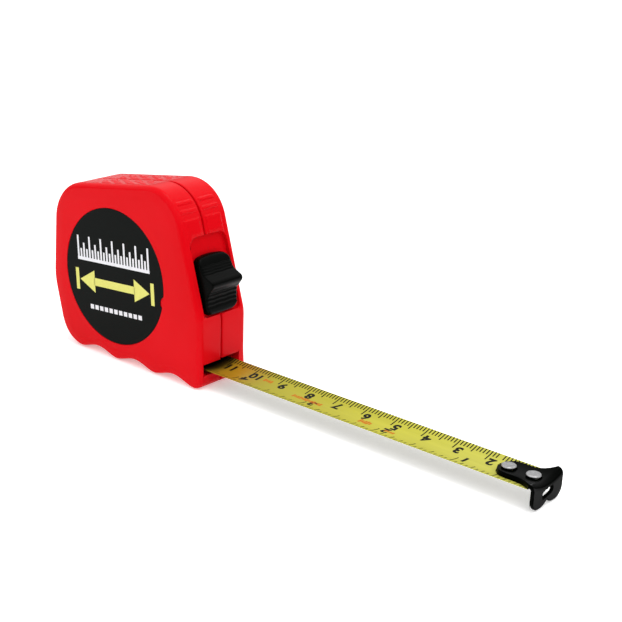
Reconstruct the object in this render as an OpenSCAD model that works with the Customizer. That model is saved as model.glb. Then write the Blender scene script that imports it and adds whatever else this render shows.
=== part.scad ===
// Pocket tape measure with a slide lock, blade partly drawn out.
// +X is the way the blade leaves, -Y is the label side, +Z is up.
// The origin lies on the base plane, straight below the reel's axis.

/* [Case] */
// Thickness of the shell with the label, from its side face to the seam
right_w = 9.5; // [9.4:0.1:10]
// How much thicker the shell with the belt clip is
left_extra = 1.3; // [0:0.1:1.5]
// Thickness of the side walls and of the top and rear walls
wall = 1.6; // [1.4:0.1:1.8]
// Height of the reel's axis over the base plane
axis_z = 26.4; // [26:0.1:27]
// Width of the groove where the two shells meet
seam_w = 0.6; // [0.3:0.1:0.6]
// Radius of the round label
label_r = 20.9; // [18:0.1:21]

/* [Lock] */
// Width of the slide button
button_w = 12.8; // [11:0.2:13.4]
// Travel of the slide button along the front face
lock_travel = 4.2; // [3:0.1:4.2]
// Lean of the slide's track from the vertical, in degrees
slide_tilt = 17.5; // [17:0.1:18]

/* [Blade] */
// Width of the blade
blade_w = 12.7; // [12:0.1:12.7]
// Thickness of the blade with its coating
blade_t = 0.2; // [0.15:0.01:0.2]
// Rise of the blade's edges over its middle
blade_cup = 1; // [0.9:0.1:1.1]
// Height of the blade's middle over the base plane
blade_z = 4.7; // [4.6:0.1:4.7]
// Measuring face of the hook, counted from the reel's axis
zero_x = 146; // [120:1:200]

/* [Hook] */
// Thickness of the hook's metal
hook_t = 1; // [0.8:0.1:1]
// Width of the hook's lip
lip_w = 14.2; // [13:0.1:14.4]
// Radius of a rivet head
rivet_r = 2; // [1.9:0.1:2.2]

/* [Hidden] */
$fn = 64;
eps = 0.01;
// Longer than the part is in any direction across it
far = 60;

// The case's side outline is the hull of these rounds, [x, z, radius], anticlockwise.
FRONT_FOOT = [33.3, 2.5, 2.5];
FRONT_LOW = [25.8, 19.2, 9.75];
FRONT_TOP = [14.9, 44.3, 12.8];
REAR_TOP = [-13.7, 39.1, 13.3];
REAR_MID = [-6.6, 22.6, 21.2];
REAR_FOOT = [-14, 11.1, 11.1];
CASE_ROUNDS = [FRONT_FOOT, FRONT_LOW, FRONT_TOP, REAR_TOP, REAR_MID, REAR_FOOT];
ARC_STEPS = 10;

side_y = right_w;
clip_side_y = right_w + left_extra;
front_x = FRONT_FOOT[0] + FRONT_FOOT[2];
edge_round = 2.2;
seam_depth = 0.8;
seam_foot_z = 1.5;
label_depth = 0.3;

// Scallops between the four feet
arch_x = [-7.7, 8.5, 24.7];
arch_chord = 13;
arch_rise = 1.8;
arch_r = (pow(arch_chord / 2, 2) + pow(arch_rise, 2)) / (2 * arch_rise);

// Lock track: a leaning recess in the front face, with its own frame
track = [35.2, 0, 18.5];
recess_w = 15.4;
recess_mid_y = 0.6;
recess_low = 2.6;
recess_foot_round = 1.4;
recess_len = 26.1;
recess_round = 2.6;
recess_reach = 8;
track_wall = 1.5;
track_gap = 0.15;
slot_w = 6;
slot_low = 8;
stem_clear = 0.2;
stem_len = 5.8;
slot_high = slot_low + stem_len + 3 * stem_clear + lock_travel;
// Side of the slide button, [outward, up the track]
BUTTON_SIDE = [[track_gap, 4.2], [1.2, 3.4], [2.3, 4.4], [2.9, 7.6], [3.9, 9.6], [5.8, 11.1],
               [6.5, 12], [6.5, 12.9], [5.5, 13.9], [3.9, 15.5], [3.1, 18], [2.6, 19.6],
               [1.8, 20.8], [track_gap, 21]];
tongue_t = 1.4;
tongue_w = 9.6;
tongue_low = 3.6;
tongue_len = 13.2;
// Side of the arm that reaches back over the blade, [x, z]
ARM_SIDE = [[18.8, 7.2], [22.6, 7.2], [28.8, 13.6], [31.6, 21.6], [29.8, 22.2], [27.2, 14.4],
            [22, 8.7], [18.8, 8.7]];
arm_w = 6.4;
pad_x = [18.9, 21.9];
pad_z = [5.35, 7.2];
pad_w = 5.8;

// Mouth and blade channel
floor_z = 3;
mouth_floor_z = 4.2;
// Mouth of the right and the left shell: [height of its top edge, half width]
MOUTH_RIGHT = [7.6, 7.5];
MOUTH_LEFT = [7.9, 7.5];
plate_x = [22.5, 33];
plate_t = 0.5;
rivet_groove_w = 4.6;
rivet_groove_z = 3.7;
rivet_groove_x = 24;

// Case screws, [x, z]
SCREWS = [[20.2, 47.8], [-18.8, 43.2], [-18.8, 9.6], [31.4, 12.8]];
screw_r = 1.1;
screw_head_r = 2.1;
screw_head_t = 1.1;
screw_boss_r = 2.7;
screw_seat_y = clip_side_y - 1.3;
screw_tip_y = -side_y + 2;
cross_l = 2.4;
cross_w = 0.9;
cross_d = 0.5;

// Reel
spindle_r = 2.5;
spindle_cover = 0.8;
run_gap = 0.05;
hub_boss_r = 4.2;
hub_boss_y = 6.3;
drum_r = 15;
drum_rim_t = 1.2;
drum_half = 6.45;
web_y = 5;
web_t = 1.2;
coil_r = 20.2;
spring_turns = 7;
spring_t = 0.35;
spring_half = 4.6;
liner_r = 21.3;
liner_t = 0.25;
liner_in = wall + 0.3;

// Blade section: an arc that rises from the middle to the edges
blade_r = (pow(blade_w / 2, 2) + pow(blade_cup, 2)) / (2 * blade_cup);
blade_axis_z = blade_z + blade_r;
blade_end_x = zero_x - 2.4;
tip_x = zero_x - 17;

// Hook and rivets
flange_len = 14.4;
// Distance of the flare's start, bend and end from the measuring face
FLARE = [7, 4, 2];
flare_rise = 0.9;
flare_drop = 0.6;
flange_w = 8;
flange_t = 1.4;
hook_gap = 0.05;
hook_low = blade_t + hook_gap;
hook_play = 1;
fold_r = 0.5;
lip_low_z = 0.15;
lobe_r = 4;
nail_slot_z = 3.6;
nail_slot_l = 5;
nail_slot_w = 1.9;
rivet_x = [zero_x - 11.6, zero_x - 4.4];
rivet_shank_r = 1.1;
rivet_head_t = 0.6;
rivet_tail_r = 1.7;
rivet_tail_t = 0.4;

// Belt clip
clip_w = 14;
clip_t = 0.9;
clip_gap = 2.8;
clip_top_z = 45;
clip_plate_z = 20;
clip_hole_r = 3.4;
clip_head_r = 3;
clip_tip_y = clip_side_y - 3.7;
// Leaf of the clip, [y, z] from the inner edge of its fold
CLIP_LEAF = [[0, 0], [clip_t, 0], [clip_t, -9], [-0.9, -25.4],
             [0.9, -30], [0.1, -30], [-1.85, -25.4], [0, -9]];

// ---- outline of the case ----

function turn_past(a, base) = a < base ? turn_past(a + 360, base) : a;

// Direction of the outward normal on the line that joins round a to round b
function tangent(a, b) =
    atan2(b[1] - a[1], b[0] - a[0]) - acos((a[2] - b[2]) / norm([b[0] - a[0], b[1] - a[1]]));

function arc_of(c, from, to, inset) =
    [for (k = [0 : ARC_STEPS])
        let (a = from + (to - from) * k / ARC_STEPS)
        [c[0] + (c[2] - inset) * cos(a), c[1] + (c[2] - inset) * sin(a)]];

function outline(inset) =
    let (n = len(CASE_ROUNDS))
    [for (i = [0 : n - 1])
        let (before = CASE_ROUNDS[(i + n - 1) % n], c = CASE_ROUNDS[i])
        let (after = CASE_ROUNDS[(i + 1) % n], from = tangent(before, c))
        each arc_of(c, from, turn_past(tangent(c, after), from), inset)];

// Extrudes an x-z outline between two y values
module slab(y0, y1) {
    translate([0, y1, 0])
        rotate([90, 0, 0])
            linear_extrude(y1 - y0)
                children();
}

// A cylinder along Y at [x, z], between two y values
module rod(p, r, y0, y1) {
    slab(y0, y1)
        translate(p)
            circle(r);
}

module track_frame() {
    translate(track)
        rotate([0, -slide_tilt, 0])
            children();
}

// ---- the two shells, built on the -Y side and mirrored for the other ----

module shell_blank(half) {
    hull() {
        slab(-half + edge_round, -seam_w / 2) polygon(outline(0));
        slab(-half + edge_round / 3, -half + edge_round) polygon(outline(edge_round / 4));
        slab(-half, -half + eps) polygon(outline(edge_round - eps));
    }
    slab(-seam_w / 2, 0) {
        polygon(outline(seam_depth));
        intersection() {
            polygon(outline(0));
            translate([REAR_FOOT[0], 0]) square([FRONT_FOOT[0] - REAR_FOOT[0], seam_foot_z]);
        }
    }
}

module cavity(half, mouth) {
    slab(-half + wall, eps)
        intersection() {
            polygon(outline(wall));
            translate([-far, floor_z]) square([2 * far, far]);
            translate([track[0], track[2]])
                rotate(slide_tilt)
                    translate([-far - track_wall, -far]) square([far, 2 * far]);
            union() {
                translate([-far, mouth[0]]) square([2 * far, far]);
                translate([-far, 0]) square([far + plate_x[0], far]);
            }
        }
    translate([plate_x[0] - eps, -mouth[1], mouth_floor_z])
        cube([far, mouth[1] + eps, mouth[0] - mouth_floor_z]);
    translate([plate_x[0] - eps, -MOUTH_RIGHT[1], mouth_floor_z - plate_t])
        cube([plate_x[1] - plate_x[0] + eps, MOUTH_RIGHT[1] + eps, plate_t + eps]);
    rivet_groove();
}

// Relief along the middle of the mouth for the rivets' tails
module rivet_groove() {
    translate([rivet_groove_x, -rivet_groove_w / 2, rivet_groove_z])
        cube([20, rivet_groove_w, 2]);
}

module lock_recess(mid_y) {
    track_frame() {
        hull()
            for (side = [-1, 1], end = [[recess_low, recess_foot_round, 1],
                                        [recess_len, recess_round, -1]])
                translate([0, mid_y + side * (recess_w / 2 - end[1]), end[0] + end[2] * end[1]])
                    rotate([0, 90, 0]) cylinder(r = end[1], h = recess_reach);
        translate([-track_wall - 1, -slot_w / 2, slot_low])
            cube([track_wall + 2, slot_w, slot_high - slot_low]);
    }
}

module arches(half) {
    for (x = arch_x)
        rod([x, arch_rise - arch_r], arch_r, -half - 1, 1);
}

// A shell with its bosses, before its screw holes are bored
module shell_body(half, mouth, recess_y) {
    difference() {
        union() {
            difference() {
                shell_blank(half);
                cavity(half, mouth);
            }
            intersection() {
                union() {
                    for (p = SCREWS)
                        rod(p, screw_boss_r, -half + wall - eps, 0);
                    rod([0, axis_z], hub_boss_r, -half + wall - eps, -hub_boss_y);
                }
                shell_blank(half);
            }
        }
        arches(half);
        lock_recess(recess_y);
        rod([0, axis_z], spindle_r, -half + spindle_cover, 1);
    }
}

module shell_right() {
    color("red")
        difference() {
            shell_body(side_y, MOUTH_RIGHT, recess_mid_y);
            rod([0, axis_z], label_r + 0.1, -side_y - 1, -side_y + label_depth);
            for (p = SCREWS)
                rod(p, screw_r, -side_y + wall, 1);
        }
}

module shell_left() {
    color("red")
        difference() {
            mirror([0, 1, 0]) shell_body(clip_side_y, MOUTH_LEFT, -recess_mid_y);
            rod([0, axis_z], screw_r + 0.1, 0, clip_side_y + 1);
            for (p = SCREWS) {
                rod(p, screw_r + 0.1, -1, clip_side_y + 1);
                rod(p, screw_head_r + 0.15, screw_seat_y, clip_side_y + 1);
            }
        }
}

module label() {
    color("black") rod([0, axis_z], label_r, -side_y + 0.05, -side_y + label_depth);
}

// ---- pieces held in the case ----

module spindle() {
    color("silver")
        difference() {
            rod([0, axis_z], spindle_r, -side_y + spindle_cover, clip_side_y - spindle_cover);
            translate([-0.3, -web_y + 0.2, axis_z])
                cube([0.6, 2 * web_y - 0.4, spindle_r + 1]);
            rod([0, axis_z], screw_r, clip_tip_y - 0.4, clip_side_y);
        }
}

module side_liners() {
    color("gainsboro")
        for (y = [-side_y + liner_in, clip_side_y - liner_in])
            difference() {
                rod([0, axis_z], liner_r, y - liner_t / 2, y + liner_t / 2);
                rod([0, axis_z], hub_boss_r + 0.2, y - liner_t, y + liner_t);
            }
}

module wear_plate() {
    color("dimgray")
        difference() {
            translate([plate_x[0], -MOUTH_RIGHT[1] + 0.1, mouth_floor_z - plate_t])
                cube([plate_x[1] - plate_x[0], 2 * MOUTH_RIGHT[1] - 0.2, plate_t]);
            translate([rivet_groove_x, -rivet_groove_w / 2, 0]) cube([20, rivet_groove_w, 9]);
        }
}

module screw(p, head_y, tip_y, head_r) {
    difference() {
        union() {
            rod(p, head_r, head_y - screw_head_t, head_y);
            rod(p, screw_r, tip_y, head_y - screw_head_t + eps);
        }
        for (turn = [0, 90])
            translate([p[0], head_y, p[1]])
                rotate([0, turn, 0]) cube([cross_l, cross_d, cross_w], center = true);
    }
}

module case_screws() {
    color("gray")
        for (p = SCREWS)
            screw(p, screw_seat_y + screw_head_t, screw_tip_y, screw_head_r);
}

module clip_screw() {
    color("gray") screw([0, axis_z], clip_side_y + clip_t + screw_head_t, clip_tip_y, clip_head_r);
}

// One spring strip: a plate on the case, a fold at the top and a leaf that hangs outside it
module belt_clip() {
    mid_r = (clip_gap + 2 * clip_t) / 2;
    color("silver")
        difference() {
            union() {
                translate([-clip_w / 2, clip_side_y, clip_plate_z])
                    cube([clip_w, clip_t, clip_top_z - clip_plate_z]);
                translate([-clip_w / 2, clip_side_y + mid_r, clip_top_z])
                    rotate([90, 0, 90])
                        linear_extrude(clip_w)
                            difference() {
                                circle(mid_r);
                                circle(mid_r - clip_t);
                                translate([-10, -20]) square([20, 20]);
                            }
                translate([-clip_w / 2, clip_side_y + 2 * mid_r - clip_t, clip_top_z])
                    rotate([90, 0, 90])
                        linear_extrude(clip_w)
                            polygon(CLIP_LEAF);
            }
            rod([0, axis_z], screw_r + 0.15, clip_side_y - 1, clip_side_y + clip_t + 0.3);
            rod([0, axis_z], clip_hole_r, clip_side_y + clip_t + 0.2, clip_side_y + 9);
        }
}

// ---- slide lock ----

module lock_button() {
    color([0.09, 0.1, 0.1])
        track_frame() {
            translate([0, button_w / 2, 0])
                rotate([90, 0, 0])
                    linear_extrude(button_w)
                        polygon(BUTTON_SIDE);
            translate([-track_wall - track_gap, -slot_w / 2 + stem_clear, slot_low + stem_clear])
                cube([track_wall + 2 * track_gap + eps, slot_w - 2 * stem_clear, stem_len]);
        }
}

// Plate behind the front wall, with an arm that reaches back over the blade
module lock_tongue() {
    color([0.16, 0.17, 0.17]) {
        track_frame()
            translate([-track_wall - track_gap - tongue_t, -tongue_w / 2, tongue_low])
                cube([tongue_t, tongue_w, tongue_len]);
        slab(-arm_w / 2, arm_w / 2) polygon(ARM_SIDE);
    }
}

module brake_pad() {
    color([0.25, 0.22, 0.2])
        translate([pad_x[0], -pad_w / 2, pad_z[0]])
            cube([pad_x[1] - pad_x[0], pad_w, pad_z[1] - pad_z[0]]);
}

// ---- reel ----

module drum() {
    color([0.85, 0.85, 0.82])
        difference() {
            rod([0, axis_z], drum_r, -drum_half, drum_half);
            rod([0, axis_z], drum_r - drum_rim_t, -web_y, drum_half + 1);
            rod([0, axis_z], drum_r - drum_rim_t, -drum_half - 1, -web_y - web_t);
            rod([0, axis_z], spindle_r + run_gap, -drum_half - 1, 0);
        }
}

module drum_cover() {
    color([0.75, 0.75, 0.73])
        difference() {
            rod([0, axis_z], drum_r - drum_rim_t, web_y, web_y + web_t);
            rod([0, axis_z], spindle_r + run_gap, 0, drum_half + 1);
        }
}

// Flat spiral from the spindle out to the drum's rim
module mainspring() {
    steps = 20;
    r_in = spindle_r + 0.6;
    r_out = drum_r - drum_rim_t - spring_t - 0.05;
    count = spring_turns * steps;
    spiral = [for (i = [0 : count])
        let (r = r_in + (r_out - r_in) * i / count, a = 360 * i / steps)
        [r * cos(a), r * sin(a)]];
    back = [for (i = [count : -1 : 0])
        let (r = spring_t + r_in + (r_out - r_in) * i / count, a = 360 * i / steps)
        [r * cos(a), r * sin(a)]];
    color("slategray")
        slab(-spring_half, spring_half)
            translate([0, axis_z]) polygon(concat(spiral, back));
}

module blade_coil() {
    color("gold")
        difference() {
            rod([0, axis_z], coil_r, -blade_w / 2, blade_w / 2);
            rod([0, axis_z], drum_r, -blade_w, blade_w);
        }
}

// ---- blade and hook ----

// A plate that follows the blade's hollow, between two heights over the blade's underside
module cupped(x0, x1, low, high, half_w) {
    intersection() {
        translate([x0, 0, blade_axis_z])
            rotate([0, 90, 0])
                difference() {
                    cylinder(r = blade_r - low, h = x1 - x0);
                    translate([0, 0, -1]) cylinder(r = blade_r - high, h = x1 - x0 + 2);
                }
        translate([x0, -half_w, 0]) cube([x1 - x0, 2 * half_w, blade_axis_z - 5]);
    }
}

module blade_strip() {
    color("gold") cupped(0.5, tip_x, 0, blade_t, blade_w / 2);
}

module rivet_holes(r, z0, z1, play) {
    for (x = rivet_x) {
        translate([x, 0, z0]) cylinder(r = r, h = z1 - z0);
        if (play > 0) {
            translate([x + play, 0, z0]) cylinder(r = r, h = z1 - z0);
            translate([x, -r, z0]) cube([play, 2 * r, z1 - z0]);
        }
    }
}

module blade_tip() {
    color("gold")
        difference() {
            cupped(tip_x, blade_end_x, 0, blade_t, blade_w / 2);
            rivet_holes(rivet_shank_r, 0, 12, 0);
        }
}

// Plan of the flange: a round end, parallel sides and a flare to the lip
module flange_plan() {
    round_x = zero_x - flange_len + flange_w / 2;
    half = [[round_x, flange_w / 2], [zero_x - FLARE[0], flange_w / 2],
            [zero_x - FLARE[1], flange_w / 2 + flare_rise],
            [zero_x - FLARE[2], lip_w / 2 - flare_drop], [zero_x, lip_w / 2]];
    translate([round_x, 0]) circle(flange_w / 2);
    polygon(concat(half, [for (i = [len(half) - 1 : -1 : 0]) [half[i][0], -half[i][1]]]));
}

module nail_slot() {
    flat = (nail_slot_l - nail_slot_w) / 2;
    translate([zero_x - 5, -flat, nail_slot_z - nail_slot_w / 2]) cube([8, 2 * flat, nail_slot_w]);
    for (side = [-1, 1])
        translate([zero_x - 5, side * flat, nail_slot_z])
            rotate([0, 90, 0]) cylinder(r = nail_slot_w / 2, h = 8);
}

// The lip hangs from the fold: two round lobes with a notch between them
module lip() {
    intersection() {
        union() {
            translate([zero_x - hook_t, -lip_w / 2, lobe_r]) cube([hook_t, lip_w, 9]);
            for (side = [-1, 1])
                translate([zero_x - hook_t, side * (lip_w / 2 - lobe_r), lip_low_z + lobe_r])
                    rotate([0, 90, 0]) cylinder(r = lobe_r, h = hook_t);
        }
        difference() {
            translate([zero_x - 8, -20, 0]) cube([10, 40, 30]);
            translate([zero_x - 10, 0, blade_axis_z])
                rotate([0, 90, 0]) cylinder(r = blade_r - hook_low - flange_t, h = 20);
        }
    }
}

// Inner radius of the fold, along the blade's arc and just below it
module fold_cove() {
    root_r = blade_r - hook_low;
    intersection() {
        translate([zero_x - hook_t, 0, blade_axis_z])
            rotate([0, 90, 0])
                rotate_extrude()
                    difference() {
                        translate([root_r - eps, -fold_r]) square([fold_r + eps, fold_r + eps]);
                        translate([root_r + fold_r, -fold_r]) circle(fold_r);
                    }
        translate([zero_x - 8, -lip_w / 2, 0]) cube([8, lip_w, 9]);
    }
}

module hook() {
    color([0.08, 0.08, 0.08])
        difference() {
            union() {
                intersection() {
                    cupped(zero_x - flange_len, zero_x, hook_low, hook_low + flange_t, lip_w / 2);
                    linear_extrude(20) flange_plan();
                }
                lip();
                fold_cove();
            }
            nail_slot();
            rivet_holes(rivet_shank_r + 0.1, 0, 12, hook_play + 0.05);
        }
}

module hook_rivets() {
    head_z = blade_z + hook_low + flange_t + 0.2;
    tail_z = blade_z - rivet_tail_t;
    color("lightgray")
        for (x = rivet_x) {
            translate([x, 0, tail_z + eps]) cylinder(r = rivet_shank_r, h = head_z - tail_z);
            translate([x, 0, tail_z]) cylinder(r = rivet_tail_r, h = rivet_tail_t);
            translate([x, 0, head_z]) cylinder(r = rivet_r, h = rivet_head_t);
        }
}

shell_right();
shell_left();
label();
spindle();
side_liners();
wear_plate();
case_screws();
belt_clip();
clip_screw();
lock_button();
lock_tongue();
brake_pad();
drum();
drum_cover();
mainspring();
blade_coil();
blade_strip();
blade_tip();
hook();
hook_rivets();
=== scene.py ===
"""Looks for the pocket tape measure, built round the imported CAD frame.

Shapes are worked out in millimetres and scaled into the frame's metres by settle().
+X is the way the blade leaves, -Y is the label side, +Z is up.
"""
import math

import bmesh
import bpy
from mathutils import Matrix, Vector


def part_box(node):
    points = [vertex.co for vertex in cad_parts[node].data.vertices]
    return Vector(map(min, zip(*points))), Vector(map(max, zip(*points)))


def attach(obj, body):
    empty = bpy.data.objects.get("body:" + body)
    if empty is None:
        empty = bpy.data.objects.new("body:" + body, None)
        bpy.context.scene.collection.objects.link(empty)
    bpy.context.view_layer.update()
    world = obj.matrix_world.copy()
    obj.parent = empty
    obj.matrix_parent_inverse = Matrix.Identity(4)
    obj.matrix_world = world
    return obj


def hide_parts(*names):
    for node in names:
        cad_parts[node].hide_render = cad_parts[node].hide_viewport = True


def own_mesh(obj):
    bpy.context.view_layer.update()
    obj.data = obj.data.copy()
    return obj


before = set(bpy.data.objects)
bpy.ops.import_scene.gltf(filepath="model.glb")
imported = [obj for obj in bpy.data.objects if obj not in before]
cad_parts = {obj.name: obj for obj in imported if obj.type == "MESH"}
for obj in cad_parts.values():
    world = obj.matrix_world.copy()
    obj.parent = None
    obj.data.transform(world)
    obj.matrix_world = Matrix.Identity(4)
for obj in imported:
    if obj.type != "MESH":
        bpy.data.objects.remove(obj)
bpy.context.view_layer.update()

MM = 0.001


def box_mm(node):
    """Lowest and highest corner of a CAD node, in millimetres."""
    low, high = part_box(node)
    return low / MM, high / MM


# ---------------------------------------------------------------- sizes from the frame

RIGHT_Y = -box_mm("shell_right")[0].y
LEFT_Y = box_mm("shell_left")[1].y
LABEL_LOW, LABEL_HIGH = box_mm("label")
LABEL_R = (LABEL_HIGH.x - LABEL_LOW.x) / 2
AXIS_Z = (LABEL_HIGH.z + LABEL_LOW.z) / 2
LABEL_GAP = 0.1
LABEL_SEAT = 0.3
STRIP_LOW, STRIP_HIGH = box_mm("blade_strip")
TIP_LOW, TIP_HIGH = box_mm("blade_tip")
HOOK_LOW, HOOK_HIGH = box_mm("hook")
ZERO_X = HOOK_HIGH.x
RIVET_LOW, RIVET_HIGH = box_mm("hook_rivets")

# The case's outline: rounds [x, z, radius] whose common tangents are its straight stretches
ROUNDS = [
    (33.3, 2.5, 2.5), (25.8, 19.2, 9.75), (14.9, 44.3, 12.8),
    (-13.7, 39.1, 13.3), (-6.6, 22.6, 21.2), (-14, 11.1, 11.1),
]
# Least radius of a round that is drawn in, and least half width of the flange's round end
LEAST_ROUND = 0.3
WALL = 1.6
SEAM_HALF = 0.3
SEAM_DEPTH = 0.8
FEET_X = (-15.8, 0.4, 16.6, 32.8)
ARCH_RISE = 1.8
SCREWS = ((20.2, 47.8), (-18.8, 43.2), (-18.8, 9.6), (31.4, 12.8))
SCREW_SEAT_R = 2.25
SCREW_SEAT_DEEP = 1.3

# The lock's track leans back on the front face; the recess round the button lies in its plane
TRACK = Vector((35.2, 0, 18.5))
TRACK_LEAN = math.radians(17.5)
SLOT_HALF = 3
SLOT_LOW = 8
SLOT_HIGH = 18.6
RECESS_W = 15.4
RECESS_MID = 0.6
RECESS_LOW = 3.1
RECESS_LEN = 26.1
RECESS_ROUND = 2.6
RECESS_FOOT_ROUND = 1.2
RECESS_CROWN = 0.45

# The mouth, whose upper edge stands higher on the far shell, and the hollow behind it
MOUTH_FLOOR = 4.2
MOUTH_TOP_RIGHT = 7.6
MOUTH_TOP_LEFT = 7.9
MOUTH_HALF = 7.5
MOUTH_BACK = 22.5
MOUTH_FRONT = 45
CAVITY_FLOOR = 3
TRACK_WALL = 1.6

# The blade's section is an arc; its scales count from the hook's outer face
BLADE_T = 0.2
BLADE_HALF = STRIP_HIGH.y
BLADE_CUP = 1.0
BLADE_R = (BLADE_HALF ** 2 + BLADE_CUP ** 2) / (2 * BLADE_CUP)
BLADE_AXIS_Z = STRIP_LOW.z + BLADE_R


# ---------------------------------------------------------------- mesh helpers

# An edge under this length counts as empty, and points this close are joined before edges are rounded
LEAST_EDGE = 0.0005
MERGE = 0.02
# How far a cutter reaches past the face it opens
PAST = 1


def step(a, b, x):
    """Smooth rise from 0 at a to 1 at b."""
    t = min(max((x - a) / (b - a), 0), 1)
    return t * t * (3 - 2 * t)


def mesh_object(name, points, faces):
    """A linked object with a mesh of these points and faces."""
    data = bpy.data.meshes.new(name)
    data.from_pydata([tuple(p) for p in points], [], faces)
    data.validate()
    piece = bpy.data.objects.new(name, data)
    bpy.context.scene.collection.objects.link(piece)
    return piece


def bake_modifiers(piece):
    """Puts the result of the piece's modifiers into its mesh."""
    graph = bpy.context.evaluated_depsgraph_get()
    result = bpy.data.meshes.new_from_object(piece.evaluated_get(graph))
    piece.modifiers.clear()
    piece.data = result


def combine(piece, other, operation):
    """Boolean of two closed meshes; other is used up."""
    change = piece.modifiers.new("change", "BOOLEAN")
    change.object = other
    change.operation = operation
    change.solver = "EXACT"
    bake_modifiers(piece)
    bpy.data.objects.remove(other)


def join(piece, others):
    """One mesh of several pieces, with their materials kept."""
    whole = bmesh.new()
    materials = []
    for part in [piece, *others]:
        indices = []
        for m in part.data.materials:
            if m not in materials:
                materials.append(m)
            indices.append(materials.index(m))
        start = len(whole.faces)
        whole.from_mesh(part.data)
        whole.faces.ensure_lookup_table()
        for f in whole.faces[start:]:
            if indices:
                f.material_index = indices[min(f.material_index, len(indices) - 1)]
    piece.data.materials.clear()
    for m in materials:
        piece.data.materials.append(m)
    whole.to_mesh(piece.data)
    whole.free()
    for part in others:
        bpy.data.objects.remove(part)


def outward(piece):
    """Turns all faces of a closed mesh outward."""
    shape = bmesh.new()
    shape.from_mesh(piece.data)
    bmesh.ops.recalc_face_normals(shape, faces=shape.faces)
    shape.to_mesh(piece.data)
    shape.free()


def soften(piece, width, chosen=lambda a, b: True, segments=2, angle=35):
    """Rounds the sharp edges for which chosen(end, end) is true."""
    shape = bmesh.new()
    shape.from_mesh(piece.data)
    bmesh.ops.remove_doubles(shape, verts=shape.verts, dist=MERGE)
    bmesh.ops.dissolve_degenerate(shape, edges=shape.edges, dist=MERGE)
    weight = shape.edges.layers.float.new("bevel_weight_edge")
    for e in shape.edges:
        sharp = len(e.link_faces) == 2 and e.calc_face_angle(0) > math.radians(angle)
        e[weight] = 1.0 if sharp and chosen(e.verts[0].co, e.verts[1].co) else 0.0
    shape.to_mesh(piece.data)
    shape.free()
    bevel = piece.modifiers.new("bevel", "BEVEL")
    bevel.width = width
    bevel.segments = segments
    bevel.limit_method = "WEIGHT"
    bevel.use_clamp_overlap = False
    bake_modifiers(piece)


def smooth(piece, angle=30):
    """Smooth shading with sharp corners, once empty faces and loose edges are out of the mesh."""
    shape = bmesh.new()
    shape.from_mesh(piece.data)
    bmesh.ops.dissolve_degenerate(shape, dist=LEAST_EDGE, edges=shape.edges)
    loose = [e for e in shape.edges if not e.link_faces]
    bmesh.ops.delete(shape, geom=loose, context="EDGES")
    shape.to_mesh(piece.data)
    shape.free()
    piece.data.polygons.foreach_set("use_smooth", [True] * len(piece.data.polygons))
    piece.data.set_sharp_from_angle(angle=math.radians(angle))
    weighted = piece.modifiers.new("even_normals", "WEIGHTED_NORMAL")
    weighted.keep_sharp = True


def settle(piece, body, nodes=(), materials=()):
    """Scales a millimetre mesh into the frame, gives it its materials and ties it to its body."""
    piece.data.transform(Matrix.Scale(MM, 4))
    piece.data.update()
    if materials:
        piece.data.materials.clear()
        for m in materials:
            piece.data.materials.append(m)
    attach(piece, body)
    if nodes:
        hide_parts(*nodes)


def grid_faces(rows, columns, offset=0):
    """Quads of a grid whose points are listed row by row."""
    return [
        (offset + r * columns + c, offset + r * columns + c + 1,
         offset + (r + 1) * columns + c + 1, offset + (r + 1) * columns + c)
        for r in range(rows - 1)
        for c in range(columns - 1)
    ]


def loft(name, rings):
    """Closed solid through rings with equal numbers of points."""
    n = len(rings[0])
    points = [p for ring in rings for p in ring]
    faces = [
        (r * n + i, r * n + (i + 1) % n, (r + 1) * n + (i + 1) % n, (r + 1) * n + i)
        for r in range(len(rings) - 1)
        for i in range(n)
    ]
    faces.append(tuple(range(n)))
    faces.append(tuple(range(len(points) - n, len(points))))
    piece = mesh_object(name, points, faces)
    outward(piece)
    return piece


def prism(name, outline, y0, y1):
    """Extrudes an x-z outline from y0 to y1."""
    return loft(name, [[(x, y, z) for x, z in outline] for y in (y0, y1)])


def rod(name, x, z, radius, y0, y1, steps=64):
    """Cylinder along Y."""
    turns = [2 * math.pi * i / steps for i in range(steps)]
    return prism(name, [(x + radius * math.cos(a), z + radius * math.sin(a)) for a in turns], y0, y1)


def box(name, low, high):
    """Box between its lowest and its highest corner."""
    x0, y0, z0 = low
    x1, y1, z1 = high
    return prism(name, [(x0, z0), (x1, z0), (x1, z1), (x0, z1)], y0, y1)


def lathe(name, profile, steps=72):
    """Closed solid of a (radius, height) profile turned about Z; its ends lie on the axis."""
    turns = [2 * math.pi * i / steps for i in range(steps)]
    return loft(name, [[(r * math.cos(a), r * math.sin(a), h) for a in turns] for r, h in profile])


def stadium(half, radius, centre=0.0):
    """Outline of a slot with round ends: half its straight length and the radius of its ends."""
    points = []
    for sign in (1, -1):
        for k in range(9):
            a = math.pi * (k / 8 - sign / 2)
            points.append((centre + sign * half + radius * math.cos(a), radius * math.sin(a)))
    return points


def from_track(u, y, w):
    """A point of the lock's track: u outward, w up the track."""
    return Vector((
        TRACK.x + u * math.cos(TRACK_LEAN) - w * math.sin(TRACK_LEAN),
        y,
        TRACK.z + u * math.sin(TRACK_LEAN) + w * math.cos(TRACK_LEAN),
    ))


# ---------------------------------------------------------------- materials

def linear(rgb):
    """Display colour, 0 to 255, as the linear colour the shaders take, by the sRGB curve."""
    return tuple(
        (c / 255 / 12.92) if c <= 10 else ((c / 255 + 0.055) / 1.055) ** 2.4
        for c in rgb
    ) + (1,)


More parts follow.
